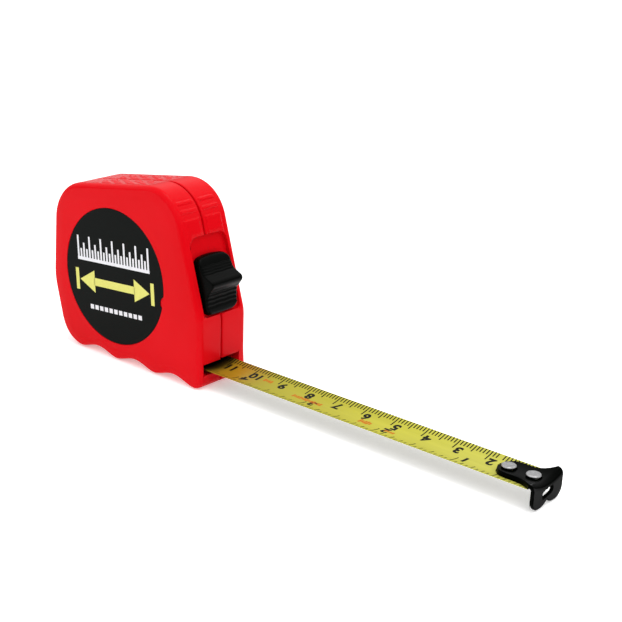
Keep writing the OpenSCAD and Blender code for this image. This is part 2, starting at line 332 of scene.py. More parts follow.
def new_material(name, roughness, metallic=0.0, specular=0.5):
    """A material with its node tree and its shader."""
    made = bpy.data.materials.new(name)
    made.use_nodes = True
    shader = made.node_tree.nodes["Principled BSDF"]
    shader.inputs["Roughness"].default_value = roughness
    shader.inputs["Metallic"].default_value = metallic
    shader.inputs["Specular IOR Level"].default_value = specular
    return made, made.node_tree, shader


def noise(tree, scale, detail=3.0, stretch=(1, 1, 1)):
    """Noise over the object's own coordinates; scale is per metre."""
    place = tree.nodes.new("ShaderNodeTexCoord")
    mapping = tree.nodes.new("ShaderNodeMapping")
    mapping.inputs["Scale"].default_value = stretch
    texture = tree.nodes.new("ShaderNodeTexNoise")
    texture.inputs["Scale"].default_value = scale
    texture.inputs["Detail"].default_value = detail
    tree.links.new(place.outputs["Object"], mapping.inputs["Vector"])
    tree.links.new(mapping.outputs["Vector"], texture.inputs["Vector"])
    return texture.outputs["Fac"]


def blend_colours(tree, factor, first, second, low=0.35, high=0.65):
    """Colour between two, as the factor rises from low to high."""
    ramp = tree.nodes.new("ShaderNodeValToRGB")
    ramp.color_ramp.elements[0].position = low
    ramp.color_ramp.elements[1].position = high
    ramp.color_ramp.elements[0].color = first
    ramp.color_ramp.elements[1].color = second
    tree.links.new(factor, ramp.inputs["Fac"])
    return ramp.outputs["Color"]


def vary_roughness(tree, shader, factor, low, high):
    """Roughness that follows the factor between two values."""
    gloss = tree.nodes.new("ShaderNodeMapRange")
    gloss.inputs["To Min"].default_value = low
    gloss.inputs["To Max"].default_value = high
    tree.links.new(factor, gloss.inputs["Value"])
    tree.links.new(gloss.outputs["Result"], shader.inputs["Roughness"])


def add_bump(tree, shader, factor, strength, depth):
    """Fine relief in the shading only; depth is in metres."""
    bump = tree.nodes.new("ShaderNodeBump")
    bump.inputs["Strength"].default_value = strength
    bump.inputs["Distance"].default_value = depth
    tree.links.new(factor, bump.inputs["Height"])
    tree.links.new(bump.outputs["Normal"], shader.inputs["Normal"])


def moulded_plastic(name, dark, light, roughness, grain=1500, bump=0.08, specular=0.5):
    """Moulded plastic: slow colour drift, fine orange-peel and a little change in gloss."""
    made, tree, shader = new_material(name, roughness, specular=specular)
    drift = noise(tree, 45, 2)
    tree.links.new(blend_colours(tree, drift, linear(dark), linear(light)), shader.inputs["Base Color"])
    fine = noise(tree, grain, 4)
    vary_roughness(tree, shader, fine, roughness * 0.85, roughness * 1.2)
    add_bump(tree, shader, fine, bump, 0.00004)
    return made


def metal(name, dark, light, roughness, stretch=(1, 1, 1), grain=900, bump=0.12):
    """Metal with a drawn or rolled grain along the axis whose stretch is smallest."""
    made, tree, shader = new_material(name, roughness, metallic=1.0)
    lines = noise(tree, grain, 5, stretch)
    tree.links.new(blend_colours(tree, lines, linear(dark), linear(light)), shader.inputs["Base Color"])
    vary_roughness(tree, shader, lines, roughness * 0.75, roughness * 1.3)
    add_bump(tree, shader, lines, bump, 0.00002)
    return made


def print_ink(name, dark, light, roughness=0.4):
    """Printed ink: nearly even, with thin spots."""
    made, tree, shader = new_material(name, roughness, specular=0.05)
    spots = noise(tree, 2600, 4)
    ink = blend_colours(tree, spots, linear(dark), linear(light), 0.3, 0.7)
    tree.links.new(ink, shader.inputs["Base Color"])
    vary_roughness(tree, shader, spots, roughness * 0.9, roughness * 1.15)
    return made


# Colours of the blade along X in metres: painted shade in the mouth, an amber stretch darkened as painted
# shade, then yellow that grows lighter towards the hook as painted sheen
BLADE_TINTS_AND_SHADE = ((0.0325, (8, 7, 4)), (0.035, (70, 52, 15)), (0.038, (158, 122, 28)),
               (0.043, (160, 121, 26)), (0.054, (160, 152, 44)), (0.100, (180, 176, 60)),
               (0.146, (182, 180, 82)))


def blade_paint():
    """Yellow lacquer over steel: fine flow marks along the blade, painted amber shade towards the mouth and
    painted sheen towards the hook.
    """
    made, tree, shader = new_material("blade_yellow", 0.34, specular=0.06)
    place = tree.nodes.new("ShaderNodeTexCoord")
    split = tree.nodes.new("ShaderNodeSeparateXYZ")
    along = tree.nodes.new("ShaderNodeMapRange")
    # A ramp along the blade's X: painted shade in the mouth, painted amber shade beside it and painted sheen
    # towards the hook
    tint_and_shade = tree.nodes.new("ShaderNodeValToRGB")
    first, last = BLADE_TINTS_AND_SHADE[0][0], BLADE_TINTS_AND_SHADE[-1][0]
    along.inputs["From Min"].default_value = first
    along.inputs["From Max"].default_value = last
    for x, _ in BLADE_TINTS_AND_SHADE[1:-1]:
        tint_and_shade.color_ramp.elements.new((x - first) / (last - first))
    for stop, (_, rgb) in zip(tint_and_shade.color_ramp.elements, BLADE_TINTS_AND_SHADE):
        stop.color = linear(rgb)
    tree.links.new(place.outputs["Object"], split.inputs["Vector"])
    tree.links.new(split.outputs["X"], along.inputs["Value"])
    tree.links.new(along.outputs["Result"], tint_and_shade.inputs["Fac"])
    flow = noise(tree, 420, 4, (0.12, 1, 1))
    mix = tree.nodes.new("ShaderNodeMix")
    mix.data_type = "RGBA"
    mix.blend_type = "MULTIPLY"
    mix.inputs["Factor"].default_value = 1.0
    tree.links.new(tint_and_shade.outputs["Color"], mix.inputs["A"])
    tree.links.new(blend_colours(tree, flow, (0.9, 0.9, 0.84, 1), (1, 1, 1, 1), 0.3, 0.7), mix.inputs["B"])
    tree.links.new(mix.outputs["Result"], shader.inputs["Base Color"])
    vary_roughness(tree, shader, flow, 0.3, 0.4)
    return made


RED = moulded_plastic("case_red", (204, 4, 15), (209, 6, 19), 0.2, grain=5200, bump=0.03, specular=0.05)
LABEL_BLACK = print_ink("label_black", (5, 8, 6), (9, 12, 10), 0.5)
LABEL_WHITE = print_ink("label_white", (214, 214, 218), (226, 226, 229))
LABEL_YELLOW = print_ink("label_yellow", (208, 206, 108), (216, 214, 118))
BUTTON_BLACK = moulded_plastic("button_black", (2, 3, 2), (5, 6, 5), 0.26,
                               grain=5200, bump=0.03, specular=0.03)
INNER_BLACK = moulded_plastic("inner_black", (34, 35, 35), (42, 43, 43), 0.5)
PAD_RUBBER = moulded_plastic("pad_rubber", (52, 46, 42), (64, 58, 52), 0.8, grain=3500, bump=0.4)
BLADE_YELLOW = blade_paint()
BLADE_PRINT = print_ink("blade_print", (10, 12, 8), (22, 24, 14))
BLADE_ORANGE = print_ink("blade_orange", (176, 92, 10), (186, 104, 16))
BLADE_BACK = metal("blade_back", (104, 100, 72), (120, 116, 84), 0.5, (0.1, 1, 1))
HOOK_BLACK = moulded_plastic("hook_black", (1, 2, 1), (3, 4, 3), 0.16, grain=700, bump=0.06, specular=0.018)
RIVET_STEEL = metal("rivet_steel", (140, 140, 141), (172, 172, 173), 0.34, grain=2600, bump=0.2)
STEEL = metal("steel", (176, 178, 180), (200, 202, 204), 0.3, (1, 0.1, 1))
SCREW_STEEL = metal("screw_steel", (150, 152, 155), (182, 184, 188), 0.34, grain=1800)
CLIP_STEEL = metal("clip_steel", (184, 186, 188), (206, 208, 210), 0.26, (1, 1, 0.06), grain=1600, bump=0.08)
SPRING_STEEL = metal("spring_steel", (96, 106, 120), (126, 134, 146), 0.3, (1, 0.05, 1))
LINER_WHITE = moulded_plastic("liner_white", (226, 226, 222), (234, 234, 230), 0.5)
REEL_WHITE = moulded_plastic("reel_white", (214, 214, 208), (224, 224, 219), 0.45)


# ---------------------------------------------------------------- case outline

def tangent(a, b):
    """Direction of the outward normal on the line from round a to round b."""
    run = math.dist(a[:2], b[:2])
    return math.atan2(b[1] - a[1], b[0] - a[0]) - math.acos((a[2] - b[2]) / run)


# Where the ribs lie on the top front round, by the normal's angle, and the grip marks along the top
RIB_ANGLES = [math.radians(a) for a in (45, 32.5, 19)]
RIB_ZONE = (math.radians(11), math.radians(54))
GRIP_X = (-10.5, 10.8)
# Widest spacing of the outline's stations: on rounds, under the ribs, under the grip, on the base, elsewhere
ROUND_STEP = 0.9
RIB_STEP = 0.15
GRIP_STEP = 0.2
BASE_STEP = 0.6
PLAIN_STEP = 2.5
# A station faces up or down when the sine of its normal passes this
LEVEL = 0.9
# The side face's roll draws in this far, and only this share of it at the base
ROLL_INSET = 4.6
BASE_TIGHT = 0.6


def spread(first, last, length, spacing):
    """Stations (x, z, radius, normal) between two of them, first included."""
    steps = max(1, math.ceil(length / spacing))
    return [[a + (b - a) * k / steps for a, b in zip(first, last)] for k in range(steps)]


def outline_stations(dense=True):
    """Stations round the outline, anticlockwise: a round's centre, its radius and the normal's angle."""
    stations = []
    n = len(ROUNDS)
    for i, here in enumerate(ROUNDS):
        before, after = ROUNDS[i - 1], ROUNDS[(i + 1) % n]
        start, end = tangent(before, here), tangent(here, after)
        while end < start:
            end += 2 * math.pi
        cuts = [start, end]
        if dense and start < RIB_ZONE[1] < end:
            cuts = [start, RIB_ZONE[1], end]
        for a, b in zip(cuts, cuts[1:]):
            ribbed = len(cuts) > 2 and b <= RIB_ZONE[1]
            stations += spread([*here, a], [*here, b], here[2] * (b - a), RIB_STEP if ribbed else ROUND_STEP)
        spacing = PLAIN_STEP
        if dense and math.sin(end) > LEVEL:
            spacing = GRIP_STEP
        elif math.sin(end) < -LEVEL:
            spacing = BASE_STEP
        stations += spread([*here, end], [*after, end], math.dist(here[:2], after[:2]), spacing)
    return stations


def scallop(x):
    """Height of the lower edge over the base plane: four feet with arches between them."""
    pitch = FEET_X[1] - FEET_X[0]
    if not FEET_X[0] < x < FEET_X[-1]:
        return 0
    return ARCH_RISE * abs(math.sin(math.pi * (x - FEET_X[0]) / pitch)) ** 1.6


def at(station, inset):
    """Point of the outline drawn in by inset; the base and tight rounds draw in less."""
    x, z, radius, normal = station
    share = 1 - (1 - BASE_TIGHT) * step(0.3, 0.95, -math.sin(normal))
    r = radius - inset * min(share, (radius - LEAST_ROUND) / ROLL_INSET)
    px = x + r * math.cos(normal)
    return px, z + r * math.sin(normal) + scallop(px) * max(0, -math.sin(normal)) ** 4


SKIN = outline_stations(False)


def depth(point):
    """How far a point lies inside the case's outline."""
    return min(
        radius - (point.x - x) * math.cos(normal) - (point.z - z) * math.sin(normal)
        for x, z, radius, normal in SKIN
    )


def outline(inset):
    """The case's outline drawn in evenly, without the arches of the base."""
    points = []
    for x, z, radius, normal in SKIN:
        r = max(radius - inset, LEAST_ROUND)
        points.append((x + r * math.cos(normal), z + r * math.sin(normal)))
    return points


def clip(polygon, keep):
    """The part of a convex polygon where keep(point) is positive."""
    kept = []
    for p, q in zip(polygon, polygon[1:] + polygon[:1]):
        a, b = keep(p), keep(q)
        if a >= 0:
            kept.append(p)
        if a * b < 0:
            t = a / (a - b)
            kept.append((p[0] + (q[0] - p[0]) * t, p[1] + (q[1] - p[1]) * t))
    return kept


# ---------------------------------------------------------------- shells

# The shell's edge is an elliptic round that starts at a soft crease
FILLET_INSET = 2.3
FILLET_Y = 1.9
CREASE = math.radians(26)
RIB_RISE = 0.28
RIB_HALF = 0.75
GRIP_RISE = 0.16
GRIP_LENGTH = 5.2
GRIP_ROW = 3.6


def side_profile(half):
    """(inset, |y|) from the flat of the side face over its edge to the seam and the joint plane."""
    crease_inset = FILLET_INSET * (1 - math.sin(CREASE))
    crease_y = half - FILLET_Y * (1 - math.cos(CREASE))
    rows = []
    for t in (0, 0.15, 0.35, 0.6, 0.85, 0.96):
        y = half + (crease_y - half) * (0.4 * t * t + 0.6 * t)
        rows.append((ROLL_INSET + (crease_inset - ROLL_INSET) * t, y))
    for k in range(9):
        a = CREASE + (math.pi / 2 - CREASE) * k / 8
        rows.append((FILLET_INSET * (1 - math.sin(a)), half - FILLET_Y * (1 - math.cos(a))))
    straight = half - FILLET_Y
    groove = SEAM_HALF + 0.3
    count = math.ceil((straight - groove) / 0.22)
    rows += [(0, straight + (groove - straight) * k / count) for k in range(1, count + 1)]
    rows += [(0.05, SEAM_HALF + 0.14), (0.14, SEAM_HALF + 0.05), (0.3, SEAM_HALF), (SEAM_DEPTH, SEAM_HALF),
             (SEAM_DEPTH, 0)]
    return rows


def relief(station, y):
    """Outward rise of the moulded ribs and the grip pattern."""
    _, _, radius, normal = station
    across = abs(y)
    rise = 0
    if RIB_ZONE[0] < normal < RIB_ZONE[1]:
        ends = step(1.1, 1.5, across) * (1 - step(7.2, 7.7, across))
        for a in RIB_ANGLES:
            off = abs(normal - a) * radius
            rise = max(rise, (1 - step(RIB_HALF * 0.45, RIB_HALF, off)) * RIB_RISE * ends)
    px = at(station, 0)[0]
    if GRIP_X[0] < px < GRIP_X[1] and math.sin(normal) > LEVEL:
        wave = math.cos(2 * math.pi * px / GRIP_LENGTH) * math.cos(2 * math.pi * y / GRIP_ROW)
        margin = min(px - GRIP_X[0], GRIP_X[1] - px)
        ends = step(0, 0.8, margin) * step(0.5, 1.0, across) * (1 - step(6.6, 7.3, across))
        rise += GRIP_RISE * step(0.0, 0.6, wave) * ends
    return rise


def shell_skin(name, side, half):
    """The shell's outer form as a closed solid, on the side given by the sign."""
    stations = outline_stations()
    rings = []
    for inset, across in side_profile(half):
        y = side * across
        ring = []
        for s in stations:
            raised = relief(s, y) if inset == 0 else 0
            x, z = at(s, inset - raised)
            ring.append((x, y, z))
        rings.append(ring)
    return loft(name, rings)


def track_prism(name, outline_yw, u0, u1):
    """Extrudes an outline in the track's plane along its outward direction."""
    return loft(name, [[from_track(u, y, w) for y, w in outline_yw] for u in (u0, u1)])


def recess_outline():
    """The recess round the slide button: round corners and a slightly crowned top."""
    half = RECESS_W / 2
    points = []
    for quarter, (across, up) in enumerate(((1, 1), (-1, 1), (-1, -1), (1, -1))):
        for k in range(9):
            a = math.pi / 2 * (quarter + k / 8)
            r = RECESS_ROUND if up > 0 else RECESS_FOOT_ROUND
            y = RECESS_MID + across * (half - r) + r * math.cos(a)
            crown = RECESS_CROWN * (1 - ((y - RECESS_MID) / half) ** 2) if up > 0 else 0
            middle = RECESS_LEN - r if up > 0 else RECESS_LOW + r
            points.append((y, middle + r * math.sin(a) + crown))
    return points


def make_shell(name, side, thick, mouth_top):
    """Half of the case, hollow, with its share of the recess, the stem's slot and the mouth."""
    shell = shell_skin(name, side, thick)
    inner = side * (thick - WALL)
    over = -side * 0.5

    def behind_track(p):
        back = TRACK.x - TRACK_WALL - p[0]
        return back * math.cos(TRACK_LEAN) + (TRACK.z - p[1]) * math.sin(TRACK_LEAN)

    hollow = clip(outline(WALL), lambda p: p[1] - CAVITY_FLOOR)
    hollow = clip(hollow, behind_track)
    upper = clip(hollow, lambda p: p[1] - mouth_top)
    rear = clip(hollow, lambda p: MOUTH_BACK - p[0])
    combine(shell, prism("cut", upper, inner, over), "DIFFERENCE")
    combine(shell, prism("cut", rear, inner, over), "DIFFERENCE")
    combine(shell, track_prism("cut", recess_outline(), 0, 8), "DIFFERENCE")
    slot = [(-SLOT_HALF, SLOT_LOW), (SLOT_HALF, SLOT_LOW),
            (SLOT_HALF, SLOT_HIGH), (-SLOT_HALF, SLOT_HIGH)]
    combine(shell, track_prism("cut", slot, -3, PAST), "DIFFERENCE")
    low_y, high_y = sorted((over, side * MOUTH_HALF))
    mouth = box("cut", (MOUTH_BACK - 0.1, low_y, MOUTH_FLOOR), (MOUTH_FRONT, high_y, mouth_top))
    combine(shell, mouth, "DIFFERENCE")
    return shell


def on_skin(a, b):
    """True for an edge that shows on the outside, away from the seam."""
    clear = min(abs(a.y), abs(b.y)) > SEAM_HALF + 0.2
    outside = max(depth(a), depth(b)) < 1.3 or max(a.y, b.y) < 0.05 - RIGHT_Y + WALL
    outside = outside or min(a.y, b.y) > LEFT_Y - WALL + 0.05
    return clear and outside


def finish_shell(shell, node):
    """Broken edges, shading and material of one shell."""
    soften(shell, 0.16, on_skin, 2, 32)
    smooth(shell, 32)
    settle(shell, "case", [node], [RED])


def shells():
    """Both case shells: the right one has the label's seat, the left one the screws' seats."""
    right = make_shell("case_right", -1, RIGHT_Y, MOUTH_TOP_RIGHT)
    seat = rod("cut", 0, AXIS_Z, LABEL_R + LABEL_GAP, -RIGHT_Y - PAST, -RIGHT_Y + LABEL_SEAT, 160)
    combine(right, seat, "DIFFERENCE")
    finish_shell(right, "shell_right")
    left = make_shell("case_left", 1, LEFT_Y, MOUTH_TOP_LEFT)
    for x, z in SCREWS:
        seat = rod("cut", x, z, SCREW_SEAT_R, LEFT_Y - SCREW_SEAT_DEEP, LEFT_Y + PAST, 40)
        combine(left, seat, "DIFFERENCE")
    finish_shell(left, "shell_left")


# ---------------------------------------------------------------- label

# Printed areas stand this far off the surface they are on
INK = 0.012
# The small notch in the label's rim: its place round the label, its radius and its share of a full round
NOTCH_ANGLE = math.radians(-8.5)
NOTCH_R = 1.7
NOTCH_SHARE = 0.62
PRINT_TILT = math.radians(4.6)


def flat_patch(name, outline_xz, y):
    """A thin printed area on the label's face."""
    return mesh_object(name, [(x, y, z) for x, z in outline_xz], [tuple(range(len(outline_xz)))])


def label_rim(steps=240):
    """The label's round outline with its notch."""
    centre = (LABEL_R * math.cos(NOTCH_ANGLE), LABEL_R * math.sin(NOTCH_ANGLE))
    rim = []
    for k in range(steps):
        a = 2 * math.pi * k / steps
        x, z = LABEL_R * math.cos(a), LABEL_R * math.sin(a)
        gap = math.dist((x, z), centre)
        if gap < NOTCH_R:
            share = 1 - math.sqrt(NOTCH_R ** 2 - gap ** 2) * NOTCH_SHARE / LABEL_R
            x, z = x * share, z * share
        rim.append((x, z))
    return rim


def label():
    """The black disc with a generic print: a ruler's edge, an arrow and a row of blocks."""
    face_y = LABEL_LOW.y
    back_y = LABEL_HIGH.y
    rim = label_rim()
    rings = []
    for shrink, y in ((0, back_y), (0, face_y + 0.06), (0.02, face_y + 0.02), (0.07, face_y)):
        k = 1 - shrink / LABEL_R
        rings.append([(x * k, y, AXIS_Z + z * k) for x, z in rim])
    disc = loft("label_disc", rings)
    disc.data.materials.append(LABEL_BLACK)
    marks = []
    run, rise = math.cos(PRINT_TILT), math.sin(PRINT_TILT)

    def mark(points, material):
        turned = [(x * run - z * rise, AXIS_Z + x * rise + z * run) for x, z in points]
        patch = flat_patch("mark", turned, face_y - INK)
        patch.data.materials.append(material)
        marks.append(patch)

    def bar(x0, x1, z0, z1, material):
        mark([(x0, z0), (x1, z0), (x1, z1), (x0, z1)], material)

    # A ruler's edge in white
    edge_z, pitch, half = 4.4, 1.26, 0.36
    bar(-15.6, 15.6, edge_z - 1, edge_z, LABEL_WHITE)
    for k in range(-12, 13):
        length = 6.6 if k % 4 == 0 else 4.4 if k % 2 == 0 else 2.6
        bar(k * pitch - half, k * pitch + half, edge_z, edge_z + length, LABEL_WHITE)
    # A dimension arrow between two stops in yellow
    stop_x, tip_x, barb_x, arrow_z = 16.3, 15.1, 8.6, -2.8
    for side in (-1, 1):
        bar(side * stop_x - 0.7, side * stop_x + 0.7, arrow_z - 3.4, arrow_z + 3.4, LABEL_YELLOW)
        barbs = [(side * barb_x, arrow_z + end * 3.5) for end in (-1, 1)]
        mark([(side * tip_x, arrow_z), *barbs], LABEL_YELLOW)
    bar(-barb_x - 0.2, barb_x + 0.2, arrow_z - 1.2, arrow_z + 1.2, LABEL_YELLOW)
    # Small white blocks below
    pitch, half = 2.1, 0.75
    for k in range(-5, 6):
        bar(k * pitch - half, k * pitch + half, -11.6, -10.2, LABEL_WHITE)
    join(disc, marks)
    outward(disc)
    smooth(disc, 30)
    settle(disc, "case", ["label"])


# ---------------------------------------------------------------- lock button

BUTTON_HALF = 6.4
BUTTON_LOW = 3.4
BUTTON_TOP = 21
BUTTON_CORNER = 2.2
# How far the ends fall away towards the button's sides
TOP_SAG = 0.8
FOOT_SAG = 0.35
SIDE_ROUND = 0.6
END_ROUND = 1.0
BUTTON_LIFT = 0.15
STEM_HALF = 2.8
STEM_LOW = 8.2
STEM_HIGH = 14
STEM_IN = -1.65
# Runs of grooves on the button: first and last place up the track, pitch and depth
GROOVES = ((14.8, 18, 0.8, 0.16), (5.4, 10.2, 1.2, 0.26))
# The button seen from the side: places up the track and the face's height over it
BUTTON_SIDE = [(3.4, 1.9), (4.7, 2.3), (6.2, 2.55), (7.8, 2.9), (9.4, 3.65), (10.4, 4.7), (11.2, 5.8),
               (11.8, 6.35), (12.5, 6.5), (13.1, 6.2), (13.8, 5.45), (15.3, 3.95), (17, 3.3), (19.4, 2.75),
               (20.3, 2.4), (21, 1.9)]


def smooth_curve(points, x):
    """Cubic through (x, value) points, with the slopes of their neighbours."""
    last = len(points) - 1
    i = min(max(sum(1 for p in points if p[0] <= x) - 1, 0), last - 1)

    def slope(k):
        a, b = points[max(k - 1, 0)], points[min(k + 1, last)]
        return (b[1] - a[1]) / (b[0] - a[0])

    (x0, v0), (x1, v1) = points[i], points[i + 1]
    span = x1 - x0
    t = min(max((x - x0) / span, 0), 1)
    return (v0 * (1 + 2 * t) * (1 - t) ** 2 + v1 * t * t * (3 - 2 * t)
            + span * (slope(i) * t * (1 - t) ** 2 - slope(i + 1) * t * t * (1 - t)))


def fillet_drop(distance, radius):
    """How far a rounded edge lies under its face, at a distance from the edge."""
    inside = max(radius - distance, 0)
    return radius - math.sqrt(max(radius ** 2 - inside ** 2, 0))


def button_face(y, w):
    """Height of the button's face over the track."""
    height = smooth_curve(BUTTON_SIDE, w)
    wave = 0.06 * math.sin(1.4 * y)
    for first, last, pitch, deep in GROOVES:
        if first < w + wave < last:
            height -= deep * math.sin(math.pi * (w + wave - first) / pitch) ** 2
    return height


def button():
    """The slide button: its face as a grid, walls down to the track and a stem through the slot."""
    rows, columns = 210, 52
    points = []
    for r in range(rows):
        for c in range(columns):
            y = BUTTON_HALF * math.sin(math.pi / 2 * (2 * c / (columns - 1) - 1))
            over = max(abs(y) - (BUTTON_HALF - BUTTON_CORNER), 0)
            corner = BUTTON_CORNER - math.sqrt(max(BUTTON_CORNER ** 2 - over ** 2, 0))
            top = BUTTON_TOP - TOP_SAG * (y / BUTTON_HALF) ** 2 - corner
            low = BUTTON_LOW + FOOT_SAG * (y / BUTTON_HALF) ** 2 + corner * 0.9
            w = low + (top - low) * r / (rows - 1)
            side_edge = fillet_drop(BUTTON_HALF - abs(y), SIDE_ROUND)
            edge = max(side_edge, fillet_drop(min(w - low, top - w), END_ROUND))
            points.append(from_track(button_face(y, w) - edge, y, w))
    faces = grid_faces(rows, columns)
    border = list(range(columns))
    border += [r * columns + columns - 1 for r in range(1, rows)]
    border += [(rows - 1) * columns + c for c in range(columns - 2, -1, -1)]
    border += [r * columns for r in range(rows - 2, 0, -1)]
    base = len(points)
    up = Vector((math.cos(TRACK_LEAN), 0, math.sin(TRACK_LEAN)))
    for i in border:
        height = (points[i] - TRACK).dot(up)
        points.append(points[i] - up * (height - BUTTON_LIFT))
    n = len(border)
    for k in range(n):
        faces.append((border[k], border[(k + 1) % n], base + (k + 1) % n, base + k))
    faces.append(tuple(range(base, base + n)))
    piece = mesh_object("slide_button", points, faces)
    outward(piece)
    section = [(-STEM_HALF, STEM_LOW), (STEM_HALF, STEM_LOW),
               (STEM_HALF, STEM_HIGH), (-STEM_HALF, STEM_HIGH)]
    join(piece, [track_prism("stem", section, STEM_IN, 0.2)])
    smooth(piece, 38)
    settle(piece, "lock", ["lock_button"], [BUTTON_BLACK])


# ---------------------------------------------------------------- blade

TOP_R = BLADE_R - BLADE_T


def on_blade(x, s, lift=0.0):
    """Point of the blade's upper face: x along it, s across it along the arc."""
    a = s / TOP_R
    r = TOP_R - lift
    return (x, r * math.sin(a), BLADE_AXIS_Z - r * math.cos(a))


HALF_ARC = TOP_R * math.asin(BLADE_HALF / BLADE_R)
SCALE_MARGIN = 0.05
INCH = 25.4
LAST_MM = 140
MM_TICK_HALF = 0.19
INCH_TICK_HALF = 0.16
# Numbers stand beside their tick, and their centres this far in from each edge
NUMBER_HEIGHT = 3.2
NUMBER_WEIGHT = 0.045
NUMBER_SHIFT = 2.0
MM_NUMBER_IN = 4.5
INCH_NUMBER_IN = 4.6
# Height of a numeral as a share of the font's size
NUMERAL_SHARE = 0.72


def blade_body(name, x0, x1):
    """The cupped steel strip, lacquered yellow above and bare below."""
    steps = 40
    across = [-HALF_ARC + 2 * HALF_ARC * k / steps for k in range(steps + 1)]
    ring = [(s, 0) for s in across] + [(s, -BLADE_T) for s in reversed(across)]
    rings = [[on_blade(x, s, lift) for s, lift in ring] for x in (x0, x1)]
    piece = loft(name, rings)
    piece.data.materials.append(BLADE_YELLOW)
    piece.data.materials.append(BLADE_BACK)
    for face in piece.data.polygons:
        face.material_index = 1 if face.normal.z < -0.5 else 0
    return piece


def ink_bar(x0, x1, s0, s1, material):
    """A printed bar that follows the blade's arc."""
    steps = max(1, math.ceil(abs(s1 - s0) / 0.5))
    points = []
    for k in range(steps + 1):
        s = s0 + (s1 - s0) * k / steps
        points += [on_blade(x0, s, INK), on_blade(x1, s, INK)]
    piece = mesh_object("ink", points, grid_faces(steps + 1, 2))
    piece.data.materials.append(material)
    return piece


def ink_number(text, x, s):
    """A number that reads with the hook to the left, bent on to the blade."""
    curve = bpy.data.curves.new("number", "FONT")
    curve.body = text
    curve.size = 1
    curve.offset = NUMBER_WEIGHT
    curve.align_x = "CENTER"
    curve.align_y = "CENTER"
    curve.resolution_u = 3
    holder = bpy.data.objects.new("number", curve)
    bpy.context.scene.collection.objects.link(holder)
    graph = bpy.context.evaluated_depsgraph_get()
    data = bpy.data.meshes.new_from_object(holder.evaluated_get(graph))
    bpy.data.objects.remove(holder)
    shape = bmesh.new()
    shape.from_mesh(data)
    scale = NUMBER_HEIGHT / NUMERAL_SHARE
    for v in shape.verts:
        v.co = Vector((v.co.x * scale, v.co.y * scale, 0))
    for k in range(-4, 5):
        bmesh.ops.bisect_plane(shape, geom=shape.verts[:] + shape.edges[:] + shape.faces[:],
                               plane_co=(0, k * 0.45, 0), plane_no=(0, 1, 0))
    for v in shape.verts:
        v.co = Vector(on_blade(x - v.co.x, s - v.co.y, INK))
    shape.to_mesh(data)
    shape.free()
    data.materials.append(BLADE_PRINT)
    piece = bpy.data.objects.new("number", data)
    bpy.context.scene.collection.objects.link(piece)
    return piece


# Rows of small orange dashes: first x, place across, number of dashes and height
ORANGE_MARKS = ((51, 1.8, 4, 1.5), (64, -0.8, 13, 1.7), (88, -1.2, 5, 2.4), (97, -1.8, 4, 1.3))
ORANGE_PITCH = 0.8
ORANGE_LENGTH = 0.62


def inch_tick(k):
    """Length of the tick at k sixteenths of an inch."""
    for every, length in ((16, 4.6), (8, 3.4), (4, 2.6), (2, 2.0)):
        if k % every == 0:
            return length
    return 1.4


def scale_marks(x_from, x_to):
    """Both scales between two places along the blade: millimetres on +Y, inches on -Y."""
    marks = []
    high, low = HALF_ARC - SCALE_MARGIN, -HALF_ARC + SCALE_MARGIN
    for mm in range(1, LAST_MM):
        x = ZERO_X - mm
        if not x_from < x < x_to:
            continue
        length = 4.3 if mm % 10 == 0 else 3.1 if mm % 5 == 0 else 2.1
        marks.append(ink_bar(x - MM_TICK_HALF, x + MM_TICK_HALF, high, HALF_ARC - length, BLADE_PRINT))
        if mm % 10 == 0:
            marks.append(ink_number(str(mm // 10), x + NUMBER_SHIFT, HALF_ARC - MM_NUMBER_IN))
    for k in range(1, 16 * 6):
        x = ZERO_X - INCH * k / 16
        if not x_from < x < x_to:
            continue
        length = inch_tick(k)
        marks.append(ink_bar(x - INCH_TICK_HALF, x + INCH_TICK_HALF, low, -HALF_ARC + length, BLADE_PRINT))
        if k % 16 == 0:
            marks.append(ink_number(str(k // 16), x + NUMBER_SHIFT, -HALF_ARC + INCH_NUMBER_IN))
    return marks


def blade():
    """The strip, tied to the case with a mesh of its own, and its end under the hook."""
    strip = blade_body("blade_length", STRIP_LOW.x, STRIP_HIGH.x)
    marks = scale_marks(STRIP_LOW.x, STRIP_HIGH.x)
    for first, s, count, width in ORANGE_MARKS:
        for k in range(count):
            x = first + ORANGE_PITCH * k
            tall = width * (1, 0.6, 0.85)[k % 3]
            marks.append(ink_bar(x, x + ORANGE_LENGTH, s - tall / 2, s + tall / 2, BLADE_ORANGE))
    join(strip, marks)
    smooth(strip, 40)
    settle(strip, "case", ["blade_strip"])
    strip.modifiers.clear()
    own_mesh(strip)

    tip = blade_body("blade_end", TIP_LOW.x, TIP_HIGH.x)
    join(tip, scale_marks(TIP_LOW.x, TIP_HIGH.x))
    smooth(tip, 40)
    settle(tip, "blade", ["blade_tip"])


# ---------------------------------------------------------------- hook and rivets

RIVET_R = (RIVET_HIGH.y - RIVET_LOW.y) / 2
RIVETS = (RIVET_LOW.x + RIVET_R, RIVET_HIGH.x - RIVET_R)
HOOK_GAP = 0.05
FLANGE_T = 1.4
LIP_T = 1.0
FLANGE_R = TOP_R - HOOK_GAP - FLANGE_T
FLANGE_HALF = 4
LIP_HALF = HOOK_HIGH.y
FOLD_R = 1.6
LOBE_R = 4
LOBE_OUTER_R = 3
FLARE_LENGTH = 7
# The hook's skin is this much thinner than the part, on its inner side
SKIN_SPARE = 0.06
NAIL_SLOT_Z = 3.6
NAIL_SLOT_HALF = 1.55
NAIL_SLOT_R = 0.95
NAIL_SLOT_LEAN = math.radians(10)
# The rivets' slots in the flange: half the hook's play, and the radius of their ends
PLAY_HALF = 0.5
STEM_SLOT_R = 1.2


